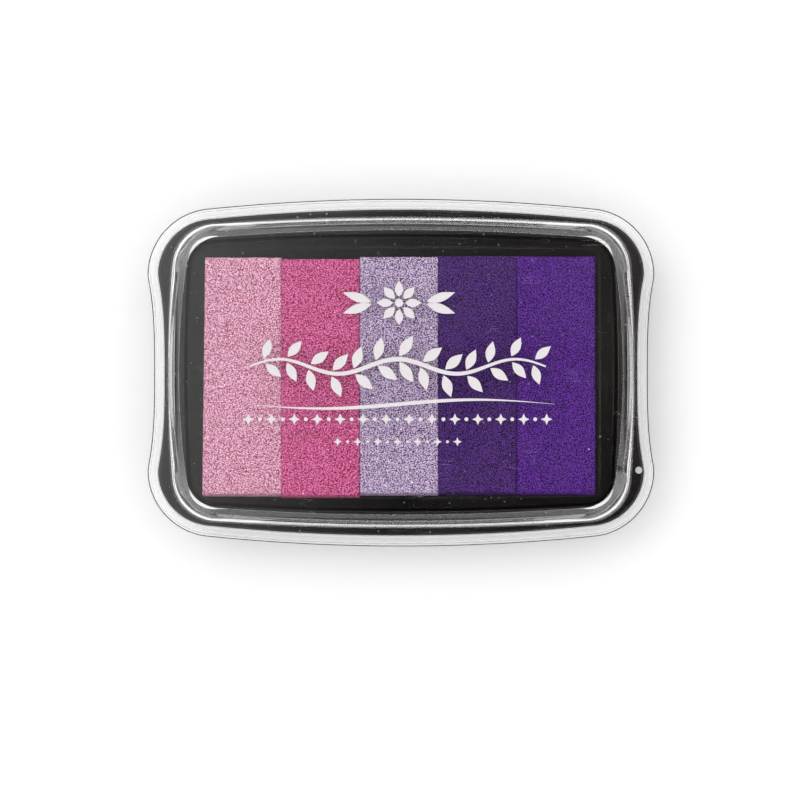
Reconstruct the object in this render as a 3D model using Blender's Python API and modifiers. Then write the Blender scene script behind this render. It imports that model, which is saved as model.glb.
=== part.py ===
"""Ink pad: a black tray with five foam ink strips under a clear lift-off lid.

Metres, +Z up. The origin is the middle of the footprint, on the surface that the pad stands on.
+X runs along the long side and +Y to the back.
"""

import math
from dataclasses import dataclass, replace

import bmesh
import bpy
from mathutils import Matrix, Vector

MM = 0.001

# Heights above the surface that the pad stands on, in millimetres.
FOOT_HEIGHT = 0.8
FLOOR_TOP = 2.4
LIP_BOTTOM = 3.2
LIP_TOP = 4.6
DECK_TOP = 8.5
TABLE_TOP = 9.3
LEDGE_TOP = 10.0
RIM_TOP = 11.2
SHOULDER_TOP = 11.8
PLATEAU_EDGE = 17.5
PLATEAU_TOP = 18.2
STACKING_RIB_TOP = 19.0

# Walls and clearances, in millimetres.
LID_WALL = 1.3
LID_CEILING = 1.4
SHOULDER_THICKNESS = 1.5
LIP_STEP = 0.6
SKIRT_DRAFT = 0.3
TRAY_WALL = 1.4
TRAY_INSET = 2.4
RIM_WALL = 1.5
RIM_DRAFT = 0.25
PLATFORM_WALL = 1.4
FIT_GAP = 0.35
FOOT_RING_INSET = 1.8
FOOT_RING_WIDTH = 2.0
LAYER_GAP = 0.1
CHAMFER = 0.25

# Foam strips and what lies under them, in millimetres.
STRIP_COUNT = 5
STRIP_PITCH = 16.1
STRIP_SIZE = (15.85, 49.0, 6.0)
STRIP_CENTRE_X = -0.4
STRIP_EDGE_RADIUS = 0.35
TAPE_SIZE = (14.6, 47.6, 0.3)
TABLE_HALF = (41.0, 25.8)
TABLE_CORNER = 1.2
LABEL_SIZE = (62.0, 34.0, 0.15)
SUPPORT_RIB = 1.2
SUPPORT_RIB_SPACING = 24.0

# Details of the lid, in millimetres.
FACE_EDGE_RUN = 0.55
STACKING_RIB_WIDTH = 1.1
STACKING_RIB_INSET = 0.1
STACKING_RIB_FOOT = 14.0
STACKING_RIB_START_Y = 20.4
STACKING_RIB_END_X = 37.0
GATE_MARK_PLACE = (48.9, -20.1)
GATE_MARK_RADIUS = 0.72
GATE_MARK_HEIGHT = 0.2
WAIST_DEPTH = 1.4
WAIST_HALF_LENGTH = 19.8

# How many straight pieces follow the curves of a quarter of an outline.
SHORT_SIDE_STEPS = 7
CORNER_STEPS = 8
LONG_SIDE_STEPS = 5

# Each strip's name, its colour, how far it was stuck down off centre (mm) and turned (degrees).
STRIPS = (
    ("light_pink", (0.64, 0.30, 0.44), -1.0, 0.25),
    ("magenta", (0.53, 0.09, 0.23), -1.3, 0.0),
    ("lavender", (0.42, 0.31, 0.48), -0.85, 0.0),
    ("dark_violet", (0.075, 0.035, 0.16), -0.7, 0.1),
    ("purple", (0.076, 0.023, 0.22), -0.75, 0.0),
)


@dataclass(frozen=True)
class Outline:
    """A rounded rectangle whose four sides are shallow arcs, drawn in at the short sides' middles."""

    half_x: float
    half_y: float
    short_side_radius: float
    long_side_radius: float
    corner_radius: float
    waist: float = 0.0

    def inset(self, distance):
        return replace(
            self,
            half_x=self.half_x - distance,
            half_y=self.half_y - distance,
            short_side_radius=self.short_side_radius - distance,
            long_side_radius=self.long_side_radius - distance,
            corner_radius=self.corner_radius - distance,
        )

    def corner_centre(self):
        """The centre of the arc that touches both side arcs."""
        short_centre = Vector((self.half_x - self.short_side_radius, 0.0))
        long_centre = Vector((0.0, self.half_y - self.long_side_radius))
        short_reach = self.short_side_radius - self.corner_radius
        long_reach = self.long_side_radius - self.corner_radius
        between = long_centre - short_centre
        span = between.length
        along = (short_reach**2 - long_reach**2 + span**2) / (2 * span)
        across = math.sqrt(short_reach**2 - along**2)
        unit = between / span
        return short_centre + along * unit + across * Vector((-unit.y, unit.x))

    def quarter(self):
        """Points from the middle of the right side round to the middle of the back."""
        centre = self.corner_centre()
        short_centre = Vector((self.half_x - self.short_side_radius, 0.0))
        long_centre = Vector((0.0, self.half_y - self.long_side_radius))
        leave = math.atan2(centre.y - short_centre.y, centre.x - short_centre.x)
        arrive = math.atan2(centre.y - long_centre.y, centre.x - long_centre.x)
        stretches = (
            (short_centre, self.short_side_radius, 0.0, leave, SHORT_SIDE_STEPS),
            (centre, self.corner_radius, leave, arrive, CORNER_STEPS),
            (long_centre, self.long_side_radius, arrive, math.pi / 2, LONG_SIDE_STEPS),
        )
        points = [Vector((self.half_x, 0.0))]
        for middle, radius, start, end, steps in stretches:
            for step in range(1, steps + 1):
                angle = start + (end - start) * step / steps
                points.append(middle + radius * Vector((math.cos(angle), math.sin(angle))))
        return [self.waisted(point) for point in points]

    def waisted(self, point):
        if abs(point.y) >= WAIST_HALF_LENGTH:
            return point
        dip = self.waist * (1 - (abs(point.y) / WAIST_HALF_LENGTH) ** 3)
        return Vector((point.x - dip, point.y))

    def points(self):
        """The whole outline, anticlockwise."""
        quarter = self.quarter()
        back_left = [Vector((-p.x, p.y)) for p in reversed(quarter[:-1])]
        front_left = [Vector((-p.x, -p.y)) for p in quarter[1:]]
        front_right = [Vector((p.x, -p.y)) for p in reversed(quarter[1:-1])]
        return quarter + back_left + front_left + front_right


BODY = Outline(52.5, 36.0, 5000.0, 392.0, 13.8, WAIST_DEPTH)
PLATEAU_FOOT = Outline(47.95, 31.9, 333.0, 620.0, 9.0)
PLATEAU_FACE = Outline(46.8, 30.5, 158.0, 504.0, 8.5)
TABLE = Outline(*TABLE_HALF, 5000.0, 5000.0, TABLE_CORNER)


def clear_scene():
    for obj in list(bpy.data.objects):
        bpy.data.objects.remove(obj, do_unlink=True)


def make_collection(name):
    collection = bpy.data.collections.new(name)
    bpy.context.scene.collection.children.link(collection)
    return collection


def make_material(name, colour, roughness, transmission=0.0):
    material = bpy.data.materials.new(name)
    material.use_nodes = True
    shader = material.node_tree.nodes["Principled BSDF"]
    shader.inputs["Base Color"].default_value = (*colour, 1.0)
    shader.inputs["Roughness"].default_value = roughness
    shader.inputs["Metallic"].default_value = 0.0
    shader.inputs["Transmission Weight"].default_value = transmission
    return material


def add_object(name, mesh, material, collection):
    obj = bpy.data.objects.new(name, mesh)
    collection.objects.link(obj)
    mesh.materials.append(material)
    return obj


def loft(name, rings, material, collection):
    """A solid whose skin runs through rings of equal point counts, closed at the first and the last.

    Each ring is an Outline and its height in millimetres. They go down the outside from the top
    of the piece, round its lower edge and up the inside.
    """
    shape = bmesh.new()
    loops = []
    for outline, height in rings:
        loops.append([shape.verts.new((p.x * MM, p.y * MM, height * MM)) for p in outline.points()])
    shape.faces.new(loops[0])
    for upper, lower in zip(loops, loops[1:]):
        for here in range(len(upper)):
            after = (here + 1) % len(upper)
            shape.faces.new((upper[here], lower[here], lower[after], upper[after]))
    shape.faces.new(list(reversed(loops[-1])))
    mesh = bpy.data.meshes.new(name)
    shape.to_mesh(mesh)
    shape.free()
    return add_object(name, mesh, material, collection)


def box(name, size, centre, material, collection, turn=0.0):
    """A block with its size and centre in millimetres, turned about its own upright axis."""
    shape = bmesh.new()
    scale = Matrix.Diagonal((size[0] * MM, size[1] * MM, size[2] * MM, 1.0))
    bmesh.ops.create_cube(shape, size=1.0, matrix=scale)
    mesh = bpy.data.meshes.new(name)
    shape.to_mesh(mesh)
    shape.free()
    obj = add_object(name, mesh, material, collection)
    obj.location = Vector(centre) * MM
    obj.rotation_euler.z = math.radians(turn)
    return obj


def soften(obj, radius, segments):
    """Rounds the edges by this many millimetres."""
    bevel = obj.modifiers.new("Edges", "BEVEL")
    bevel.width = radius * MM
    bevel.segments = segments
    bevel.limit_method = "ANGLE"


def join(obj, others):
    """Joins helper solids to the object and keeps the helpers out of the render."""
    for other in others:
        other.hide_render = True
        other.display_type = "WIRE"
        union = obj.modifiers.new("Join " + other.name, "BOOLEAN")
        union.operation = "UNION"
        union.solver = "EXACT"
        union.object = other


def stacking_rib(number, flip_x, flip_y, material, helpers):
    """A curved rib that follows one corner of the lid's raised top."""
    corner = [
        index
        for index, p in enumerate(PLATEAU_FACE.quarter())
        if p.y >= STACKING_RIB_START_Y and p.x >= STACKING_RIB_END_X
    ]
    stretch = slice(corner[0], corner[-1] + 1)
    inner_line = PLATEAU_FACE.inset(STACKING_RIB_INSET)
    inner = inner_line.quarter()[stretch]
    outer = inner_line.inset(-STACKING_RIB_WIDTH).quarter()[stretch]
    curve = bpy.data.curves.new(f"stacking_rib_{number}", "CURVE")
    curve.dimensions = "2D"
    curve.fill_mode = "BOTH"
    curve.extrude = (STACKING_RIB_TOP - STACKING_RIB_FOOT) / 2 * MM
    spline = curve.splines.new("POLY")
    spline.use_cyclic_u = True
    band = inner + list(reversed(outer))
    spline.points.add(len(band) - 1)
    for point, p in zip(spline.points, band):
        point.co = (flip_x * p.x * MM, flip_y * p.y * MM, 0.0, 1.0)
    guide = bpy.data.objects.new(curve.name, curve)
    helpers.objects.link(guide)
    guide.location.z = (STACKING_RIB_TOP + STACKING_RIB_FOOT) / 2 * MM
    return as_mesh(guide, material, helpers)


def as_mesh(guide, material, collection):
    """Makes a closed mesh of a curve object and removes the curve."""
    bpy.context.view_layer.update()
    graph = bpy.context.evaluated_depsgraph_get()
    mesh = bpy.data.meshes.new_from_object(guide.evaluated_get(graph))
    shape = bmesh.new()
    shape.from_mesh(mesh)
    bmesh.ops.remove_doubles(shape, verts=shape.verts, dist=1e-6)
    bmesh.ops.recalc_face_normals(shape, faces=shape.faces)
    shape.to_mesh(mesh)
    shape.free()
    solid = add_object(guide.name + "_solid", mesh, material, collection)
    solid.matrix_world = guide.matrix_world.copy()
    bpy.data.objects.remove(guide, do_unlink=True)
    return solid


def gate_mark(material, helpers):
    """The small round witness mark that the moulding gate leaves on the lid's shoulder."""
    shape = bmesh.new()
    bmesh.ops.create_cone(
        shape,
        cap_ends=True,
        segments=16,
        radius1=GATE_MARK_RADIUS * MM,
        radius2=GATE_MARK_RADIUS * MM,
        depth=2 * GATE_MARK_HEIGHT * MM,
    )
    mesh = bpy.data.meshes.new("gate_mark")
    shape.to_mesh(mesh)
    shape.free()
    mark = add_object("gate_mark", mesh, material, helpers)
    mark.location = Vector((*GATE_MARK_PLACE, SHOULDER_TOP)) * MM
    return mark


def make_lid(parts, helpers):
    """The clear lid, one moulding: lipped skirt, shoulder ledge and raised top."""
    clear = make_material("clear_polystyrene", (0.93, 0.93, 0.92), 0.06, transmission=0.95)
    skirt = BODY.inset(LIP_STEP)
    skirt_top = skirt.inset(SKIRT_DRAFT)
    underside = SHOULDER_TOP - SHOULDER_THICKNESS
    rings = (
        (PLATEAU_FACE, PLATEAU_TOP),
        (PLATEAU_FACE.inset(-FACE_EDGE_RUN), PLATEAU_EDGE),
        (PLATEAU_FOOT, SHOULDER_TOP),
        (skirt_top.inset(CHAMFER), SHOULDER_TOP),
        (skirt_top, SHOULDER_TOP - CHAMFER),
        (skirt, LIP_TOP),
        (BODY.inset(CHAMFER), LIP_TOP),
        (BODY, LIP_TOP - CHAMFER),
        (BODY, LIP_BOTTOM),
        (skirt.inset(LID_WALL), LIP_BOTTOM),
        (skirt_top.inset(LID_WALL), underside),
        (PLATEAU_FOOT.inset(LID_WALL), underside),
        (PLATEAU_FACE.inset(LID_WALL), PLATEAU_TOP - LID_CEILING),
    )
    lid = loft("lid", rings, clear, parts)
    corners = ((1, 1), (-1, 1), (-1, -1), (1, -1))
    ribs = [stacking_rib(i + 1, *signs, clear, helpers) for i, signs in enumerate(corners)]
    join(lid, [*ribs, gate_mark(clear, helpers)])


def make_base_tray(parts, black):
    """The black tray: outer wall, ledge that carries the lid, raised rim, floor and foot ring.

    Returns the outline of its hollow.
    """
    inner_wall = PLATEAU_FOOT.inset(LID_WALL + FIT_GAP + RIM_DRAFT)
    cavity = inner_wall.inset(RIM_WALL)
    outer_wall = BODY.inset(TRAY_INSET)
    foot = PLATEAU_FACE.inset(FOOT_RING_INSET)
    rings = (
        (cavity, FLOOR_TOP),
        (cavity, RIM_TOP),
        (inner_wall.inset(CHAMFER), RIM_TOP),
        (inner_wall, RIM_TOP - CHAMFER),
        (inner_wall.inset(-RIM_DRAFT), LEDGE_TOP),
        (outer_wall.inset(CHAMFER), LEDGE_TOP),
        (outer_wall, LEDGE_TOP - CHAMFER),
        (outer_wall, FOOT_HEIGHT),
        (outer_wall.inset(TRAY_WALL), FOOT_HEIGHT),
        (outer_wall.inset(TRAY_WALL), LEDGE_TOP - TRAY_WALL),
        (inner_wall, LEDGE_TOP - TRAY_WALL),
        (inner_wall, FOOT_HEIGHT),
        (foot, FOOT_HEIGHT),
        (foot, 0.0),
        (foot.inset(FOOT_RING_WIDTH), 0.0),
        (foot.inset(FOOT_RING_WIDTH), FOOT_HEIGHT),
    )
    loft("base_tray", rings, black, parts)
    return cavity


def make_pad_platform(parts, helpers, black, cavity):
    """The black platform inside the tray, with the raised table that the foam is stuck to."""
    edge = cavity.inset(FIT_GAP)
    foot = FLOOR_TOP + LAYER_GAP
    ceiling = DECK_TOP - PLATFORM_WALL
    rings = (
        (TABLE, TABLE_TOP),
        (TABLE, DECK_TOP),
        (edge, DECK_TOP),
        (edge, foot),
        (edge.inset(PLATFORM_WALL), foot),
        (edge.inset(PLATFORM_WALL), ceiling),
    )
    platform = loft("pad_platform", rings, black, parts)
    height = ceiling - foot + PLATFORM_WALL / 2
    middle = foot + height / 2
    inside_x = 2 * (edge.half_x - PLATFORM_WALL / 2)
    inside_y = 2 * (edge.half_y - PLATFORM_WALL / 2)
    ribs = [box("long_rib", (inside_x, SUPPORT_RIB, height), (0, 0, middle), black, helpers)]
    for number in (-1, 0, 1):
        place = (number * SUPPORT_RIB_SPACING, 0, middle)
        size = (SUPPORT_RIB, inside_y, height)
        ribs.append(box(f"cross_rib_{number + 2}", size, place, black, helpers))
    join(platform, ribs)


def make_strips(parts):
    """The five foam strips, each on its own adhesive tape."""
    adhesive = make_material("adhesive_tape", (0.75, 0.72, 0.62), 0.5)
    tape_middle = TABLE_TOP + LAYER_GAP + TAPE_SIZE[2] / 2
    foam_middle = TABLE_TOP + 2 * LAYER_GAP + TAPE_SIZE[2] + STRIP_SIZE[2] / 2
    for number, (name, colour, shift, turn) in enumerate(STRIPS):
        x = STRIP_CENTRE_X + (number - (STRIP_COUNT - 1) / 2) * STRIP_PITCH
        inked = make_material("foam_" + name, colour, 0.9)
        box("tape_" + name, TAPE_SIZE, (x, shift, tape_middle), adhesive, parts, turn)
        foam = box("ink_strip_" + name, STRIP_SIZE, (x, shift, foam_middle), inked, parts, turn)
        soften(foam, STRIP_EDGE_RADIUS, 1)


def make_label(parts):
    """The blank paper label inside the foot ring."""
    paper = make_material("label_paper", (0.85, 0.84, 0.80), 0.8)
    middle = FOOT_HEIGHT - LAYER_GAP - LABEL_SIZE[2] / 2
    box("underside_label", LABEL_SIZE, (0, 0, middle), paper, parts)


def main():
    clear_scene()
    parts = make_collection("ink_pad")
    helpers = make_collection("ink_pad_helpers")
    black = make_material("black_polystyrene", (0.022, 0.021, 0.021), 0.35)
    make_lid(parts, helpers)
    cavity = make_base_tray(parts, black)
    make_pad_platform(parts, helpers, black, cavity)
    make_strips(parts)
    make_label(parts)


main()
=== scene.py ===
"""Multicolour ink pad: five ink-soaked foam strips in a black tray, under a clear lift-off lid."""

import math  # noqa: E402
from dataclasses import dataclass, replace  # noqa: E402

import bmesh  # noqa: E402
import bpy  # noqa: E402
from bpy.props import FloatProperty, FloatVectorProperty, IntProperty, PointerProperty  # noqa: E402
from mathutils import Matrix, Vector, noise  # noqa: E402


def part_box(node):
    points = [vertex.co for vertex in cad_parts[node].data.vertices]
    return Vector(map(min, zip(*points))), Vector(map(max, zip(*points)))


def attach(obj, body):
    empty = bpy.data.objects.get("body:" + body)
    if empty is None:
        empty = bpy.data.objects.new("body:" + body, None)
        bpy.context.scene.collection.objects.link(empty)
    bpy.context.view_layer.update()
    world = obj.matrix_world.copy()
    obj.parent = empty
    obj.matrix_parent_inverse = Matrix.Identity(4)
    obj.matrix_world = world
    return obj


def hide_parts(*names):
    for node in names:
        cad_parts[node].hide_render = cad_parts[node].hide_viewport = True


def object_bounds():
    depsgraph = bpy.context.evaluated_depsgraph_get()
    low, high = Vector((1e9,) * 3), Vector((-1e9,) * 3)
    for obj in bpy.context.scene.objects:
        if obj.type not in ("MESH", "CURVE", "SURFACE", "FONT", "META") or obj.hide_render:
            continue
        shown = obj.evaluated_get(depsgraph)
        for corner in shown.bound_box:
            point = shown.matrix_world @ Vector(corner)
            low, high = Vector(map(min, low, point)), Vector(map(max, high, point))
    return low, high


bl_info = {
    "name": "Craft Ink Pad",
    "version": (1, 0, 0),
    "blender": (4, 5, 0),
    "location": "View3D > Sidebar > Ink Pad",
    "description": "Builds the lid, tray, foam strips and print of a multicolour ink pad",
    "category": "Object",
}

MM = 0.001
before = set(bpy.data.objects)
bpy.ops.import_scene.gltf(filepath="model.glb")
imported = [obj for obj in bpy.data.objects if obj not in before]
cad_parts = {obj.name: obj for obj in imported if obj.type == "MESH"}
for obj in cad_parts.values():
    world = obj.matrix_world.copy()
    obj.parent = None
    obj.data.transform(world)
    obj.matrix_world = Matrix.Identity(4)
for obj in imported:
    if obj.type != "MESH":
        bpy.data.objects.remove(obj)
CAD_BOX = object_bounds()

STRIP_NAMES = ("light_pink", "magenta", "lavender", "dark_violet", "purple")

# How many straight pieces follow the curves of a quarter of an outline.
SHORT_SIDE_STEPS = 16
CORNER_STEPS = 18
LONG_SIDE_STEPS = 12

# How far from a rounded edge its added ring lies, as a share of the radius.
SUPPORT_REACH = 1.6
ROUNDING_SEGMENTS = 3

# The lid's ribs reach from these distances out to the corners.
RIB_FROM_X = 37.2 * MM
RIB_FROM_Y = 20.6 * MM
# The rings between which the lid's ribs rise, and the ring at the flat top's edge.
RIB_RINGS = slice(1, 6)
EDGE_RING = 3

GATE_PLACE = (48.9 * MM, -20.1 * MM)
GATE_HEIGHT = 0.22 * MM
GATE_RIM = 0.3 * MM
GATE_DISH = 0.1 * MM
GATE_ROUNDING = 0.07 * MM

# How far in from the cut front, and from the first strip's left side, the foam leans.
FOAM_LEAN_REACH = 3.0 * MM
FIRST_STRIP_TAPER = 0.6 * MM
FOAM_OVERLAP = 0.1 * MM
# Slow and quick unevenness of the foam: how often it comes in a metre, and how high it is.
FOAM_WAVES = ((260.0, 0.045 * MM, 1.0), (900.0, 0.05 * MM, 3.0))
PORE_SHARE = 0.42

# Print lies this far off the surface under it, so that the two never share a plane.
PRINT_GAP = 0.005 * MM
LABEL_FILM = 0.02 * MM
# Keeps the table off the pad, and the lines on the label off each other.
SMALL_GAP = 0.02 * MM

# The dome's dark middle, overhead: where it starts and is complete, as the height of a direction.
OVERHEAD_START = 0.95
OVERHEAD_FULL = 0.985


# --- Outlines ---


@dataclass(frozen=True)
class Outline:
    """A rounded rectangle with bowed sides, in metres, drawn in at the short sides' middles."""

    half_x: float
    half_y: float
    short_side_radius: float
    long_side_radius: float
    corner_radius: float
    waist: float = 0.0
    waist_half_length: float = 0.0

    def inset(self, distance):
        smaller = ("half_x", "half_y", "short_side_radius", "long_side_radius", "corner_radius")
        return replace(self, **{name: getattr(self, name) - distance for name in smaller})

    def corner_centre(self, short_centre, long_centre):
        """The centre of the arc that touches both side arcs, from their centres."""
        short_reach = self.short_side_radius - self.corner_radius
        long_reach = self.long_side_radius - self.corner_radius
        between = long_centre - short_centre
        span = between.length
        along = (short_reach**2 - long_reach**2 + span**2) / (2 * span)
        across = math.sqrt(short_reach**2 - along**2)
        unit = between / span
        return short_centre + along * unit + across * Vector((-unit.y, unit.x))

    def quarter(self):
        """Points from the middle of the right side round to the middle of the back."""
        short_centre = Vector((self.half_x - self.short_side_radius, 0.0))
        long_centre = Vector((0.0, self.half_y - self.long_side_radius))
        centre = self.corner_centre(short_centre, long_centre)
        leave = math.atan2(centre.y - short_centre.y, centre.x - short_centre.x)
        arrive = math.atan2(centre.y - long_centre.y, centre.x - long_centre.x)
        stretches = (
            (short_centre, self.short_side_radius, 0.0, leave, SHORT_SIDE_STEPS),
            (centre, self.corner_radius, leave, arrive, CORNER_STEPS),
            (long_centre, self.long_side_radius, arrive, math.pi / 2, LONG_SIDE_STEPS),
        )
        points = [Vector((self.half_x, 0.0))]
        for middle, radius, start, end, steps in stretches:
            for step in range(1, steps + 1):
                angle = start + (end - start) * step / steps
                points.append(middle + radius * Vector((math.cos(angle), math.sin(angle))))
        return [self.waisted(point) for point in points]

    def waisted(self, point):
        if abs(point.y) >= self.waist_half_length:
            return point
        dip = self.waist * (1 - (abs(point.y) / self.waist_half_length) ** 3)
        return Vector((point.x - dip, point.y))

    def points(self):
        """The whole outline, anticlockwise."""
        quarter = self.quarter()
        back_left = [Vector((-p.x, p.y)) for p in reversed(quarter[:-1])]
        front_left = [Vector((-p.x, -p.y)) for p in quarter[1:]]
        front_right = [Vector((p.x, -p.y)) for p in reversed(quarter[1:-1])]
        return quarter + back_left + front_left + front_right


# --- Settings ---


def length(name, text, millimetres):
    """A length property whose default is given in millimetres."""
    return FloatProperty(
        name=name, description=text, default=millimetres * MM, unit="LENGTH", precision=5
    )


def level(name, text, value, **options):
    """A plain number that can't be negative."""
    return FloatProperty(name=name, description=text, default=value, min=0.0, **options)


def colour(name, text, value):
    return FloatVectorProperty(
        name=name, description=text, default=value, size=3, subtype="COLOR", min=0.0, max=1.0
    )


class InkPadLidSettings(bpy.types.PropertyGroup):
    wall: length("Wall", "Thickness of the lid's walls", 1.3)
    ceiling: length("Ceiling", "Thickness of the flat top", 1.4)
    rib_height: length("Rib height", "How far the corner ribs stand above the flat top", 0.8)
    rib_width: length("Rib width", "Width of a corner rib", 1.05)
    rib_inset: length("Rib inset", "How far a rib's inner side is inside the flat top's edge", 0.4)
    face_height: length("Raised top", "Height of the flat top above the shoulder", 6.4)
    lip_height: length("Lip height", "Height of the lip round the skirt's lower edge", 1.4)
    lip_step: length("Lip step", "How far the lip stands out from the skirt", 0.6)
    draft: length("Draft", "How far the skirt leans in towards the shoulder", 0.3)
    gate_radius: length("Gate mark", "Radius of the moulding gate's mark", 0.72)
    tint: colour("Tint", "Colour of light that has passed the plastic", (0.988, 0.988, 0.985))


class InkPadTraySettings(bpy.types.PropertyGroup):
    wall: length("Wall", "Thickness of the tray's outer wall", 1.4)
    inset: length("Inset", "How far the tray's wall is inside the lid's lip", 2.4)
    fit_gap: length("Fit gap", "Running gap between the tray's rim and the lid", 0.35)
    rim_wall: length("Rim wall", "Thickness of the raised rim", 1.5)
    rim_draft: length("Rim draft", "How far the rim leans in towards its top", 0.25)
    rim_height: length("Rim height", "Height of the rim above the ledge", 1.2)
    foot_inset: length("Foot inset", "How far the foot ring is inside the lid's raised top", 1.8)
    foot_width: length("Foot width", "Width of the foot ring", 2.0)
    foot_height: length("Foot height", "Height of the foot ring", 0.8)
    floor: length("Floor", "Thickness of the tray's floor", 1.6)
    table_step: length("Table step", "Height of the foam's table above the deck", 0.8)
    plastic: colour("Plastic", "Colour of the tray's plastic", (0.0045, 0.0042, 0.0043))


class InkPadFoamSettings(bpy.types.PropertyGroup):
    cell: length("Cell", "Distance between points on the foam's surface", 0.25)
    pore: length("Pore", "Width of the foam's pores", 0.42)
    depth: length("Pore depth", "How deep the open pores are", 0.11)
    edge: length("Edge", "Radius of the foam's soft upper edges", 0.45)
    front_slope: length("Front slope", "How far the cut front leans back to its upper edge", 0.55)
    seed: IntProperty(name="Seed", description="Chooses the pattern of pores", default=7)
    light_pink: colour("Light pink", "First ink", (0.69, 0.210, 0.430))
    magenta: colour("Magenta", "Second ink", (0.60, 0.010, 0.140))
    lavender: colour("Lavender", "Third ink", (0.42, 0.260, 0.520))
    dark_violet: colour("Dark violet", "Fourth ink", (0.031, 0.0033, 0.116))
    purple: colour("Purple", "Fifth ink", (0.040, 0.0020, 0.190))


class InkPadPrintSettings(bpy.types.PropertyGroup):
    thickness: length("Thickness", "Thickness of the printed film", 0.03)
    ink: colour("Ink", "Colour of the print on the lid", (0.66, 0.63, 0.64))


class InkPadStageSettings(bpy.types.PropertyGroup):
    camera_height: length("Camera height", "Height of the camera above the table", 1200.0)
    lens: level("Lens", "Focal length", 260.0, unit="CAMERA")
    aim_x: length("Aim X", "Where the camera looks, from the pad's middle", -0.2)
    aim_y: length("Aim Y", "Where the camera looks, from the pad's middle", -5.66)
    sky: level("Sky", "Brightness of the dome", 1.36)
    horizon: level("Horizon", "Share of the dome's brightness that is left at the horizon", 0.1)
    bias: level("Bias", "How much brighter the dome's back left is", 0.15)
    key: level("Key", "Power of the large soft light", 1.5, unit="POWER")
    table: colour("Table", "Colour of the table top", (0.86, 0.86, 0.86))


class InkPadSettings(bpy.types.PropertyGroup):
    lid: PointerProperty(type=InkPadLidSettings)
    tray: PointerProperty(type=InkPadTraySettings)
    foam: PointerProperty(type=InkPadFoamSettings)
    artwork: PointerProperty(type=InkPadPrintSettings)
    stage: PointerProperty(type=InkPadStageSettings)


# --- The case's outlines, from the frame ---


def body_outline():
    """The lid's lip: the widest outline of the pad."""
    _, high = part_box("lid")
    return Outline(
        half_x=52.5 * MM,
        half_y=high.y,
        short_side_radius=5.0,
        long_side_radius=0.392,
        corner_radius=13.8 * MM,
        waist=1.4 * MM,
        waist_half_length=19.8 * MM,
    )


def plateau_foot():
    """Where the raised top's wall meets the shoulder."""
    return body_outline_inside(4.55 * MM, 4.1 * MM, 0.333, 0.620, 9.0 * MM)


def plateau_face():
    """The edge of the lid's flat top."""
    return body_outline_inside(5.7 * MM, 5.5 * MM, 0.158, 0.504, 8.5 * MM)


def body_outline_inside(from_side, from_end, *radii):
    """An outline without a waist, this far inside the body's short and long sides."""
    body = body_outline()
    return Outline(body.half_x - from_side, body.half_y - from_end, *radii)


# --- Modelling helpers ---


def placed_rings(rings):
    """Each ring's points, rounding radius and segments, with plain rings added beside rounded ones.

    The added rings keep the flats between rounded edges flat in their shading.
    """
    solid = []
    for outline, height, radius, *segments in rings:
        points = [Vector((p.x, p.y, height)) for p in outline.points()]
        solid.append((points, radius, segments[0] if segments else ROUNDING_SEGMENTS))
    placed = [solid[0]]
    for before, after in zip(solid, solid[1:]):
        gap = min((b - a).length for a, b in zip(before[0], after[0]))
        if SUPPORT_REACH * (before[1] + after[1]) < 0.9 * gap:
            for start, end in ((before, after), (after, before)):
                if start[1] > 0.0:
                    reach = SUPPORT_REACH * start[1]
                    points = [a + (b - a).normalized() * reach for a, b in zip(start[0], end[0])]
                    placed.append((points, 0.0, 1))
        placed.append(after)
    return placed


def loft(rings):
    """A closed bmesh skin through rings of equal point counts, with each ring's edges rounded.

    Each ring is an Outline, a height, a radius and, where it isn't the usual number, its segments.
    They go down the outside and up the inside.
    Returns the shape and the edges of the rings that aren't rounded, for more work on them.
    """
    shape = bmesh.new()
    station = shape.verts.layers.int.new("station")
    placed = placed_rings(rings)
    corners = [shape.verts.new(point) for point in placed[0][0]]
    for number, vert in enumerate(corners):
        vert[station] = number
    edges = list(shape.faces.new(corners).edges)
    rounded = []
    plain = [edges]
    for points, radius, segments in placed[1:]:
        grown = bmesh.ops.extrude_edge_only(shape, edges=edges)["geom"]
        fresh = set(verts_of(grown))
        for vert in fresh:
            vert.co = points[vert[station]]
        edges = [
            g
            for g in grown
            if isinstance(g, bmesh.types.BMEdge) and g.verts[0] in fresh and g.verts[1] in fresh
        ]
        if radius > 0.0:
            rounded.append((edges, radius, segments))
        else:
            plain.append(edges)
    bmesh.ops.contextual_create(shape, geom=edges)
    bmesh.ops.recalc_face_normals(shape, faces=shape.faces)
    for ring, radius, segments in rounded:
        round_edges(shape, ring, radius, segments)
    return shape, plain


def round_edges(shape, edges, radius, segments=ROUNDING_SEGMENTS):
    living = [edge for edge in edges if edge.is_valid]
    bmesh.ops.bevel(
        shape,
        geom=living,
        offset=radius,
        offset_type="OFFSET",
        segments=segments,
        profile=0.5,
        affect="EDGES",
        clamp_overlap=True,
        material=-1,
    )


def verts_of(made):
    return [item for item in made if isinstance(item, bmesh.types.BMVert)]


def faces_of(made):
    return [item for item in made if isinstance(item, bmesh.types.BMFace)]


def check_closed(shape, name):
    for edge in shape.edges:
        if len(edge.link_faces) != 2:
            raise RuntimeError(f"{name} has an open or shared edge at {edge.verts[0].co[:]}")


def finish_node(name, material):
    """Gives a node of the frame its only material."""
    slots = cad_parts[name].data.materials
    slots.clear()
    slots.append(material)


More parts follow.
